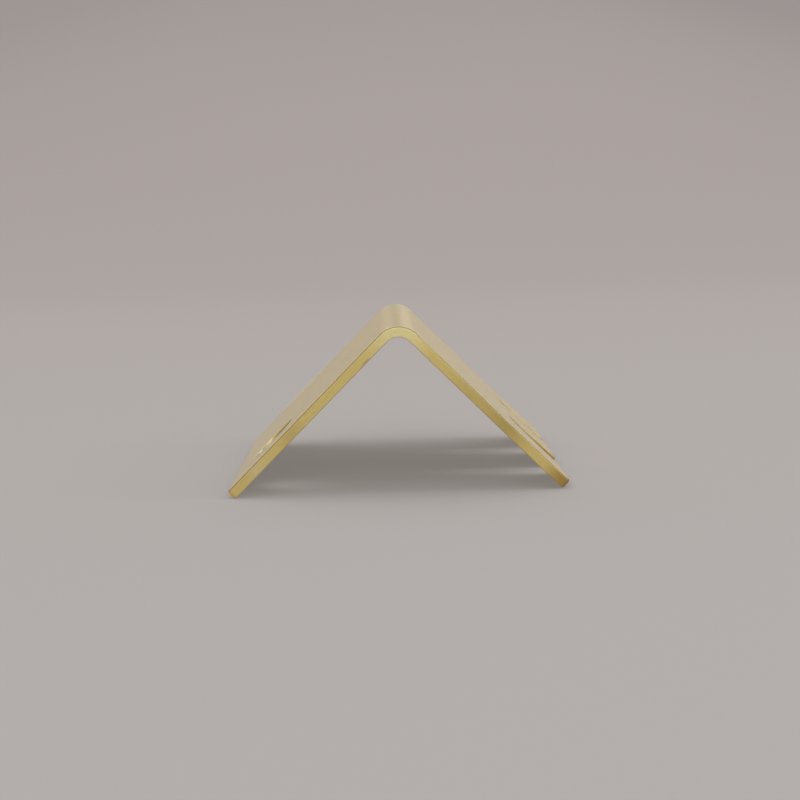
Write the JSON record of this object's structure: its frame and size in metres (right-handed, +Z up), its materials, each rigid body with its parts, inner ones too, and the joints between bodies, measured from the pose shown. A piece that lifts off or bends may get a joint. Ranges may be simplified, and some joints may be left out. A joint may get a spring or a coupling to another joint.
{
  "type": "tab pull",
  "caption": "Folded brass sheet tab pull: a flat tab leg with a round hole near one corner, and a second leg with open-ended screw slots.",
  "frame": {"origin": "on the ground under the middle of the part's box, with the pull standing on its two leg ends", "axes": "+Y along the fold, +Z up through the fold, +X from the tab leg to the slotted leg"},
  "size_m": [0.0396, 0.05, 0.0194],
  "materials": {
    "brass": "satin, under a thin clear lacquer, with lightly worn rims"
  },
  "bodies": {
    "root": {"tab_pull": "brass"}
  },
  "joints": []
}
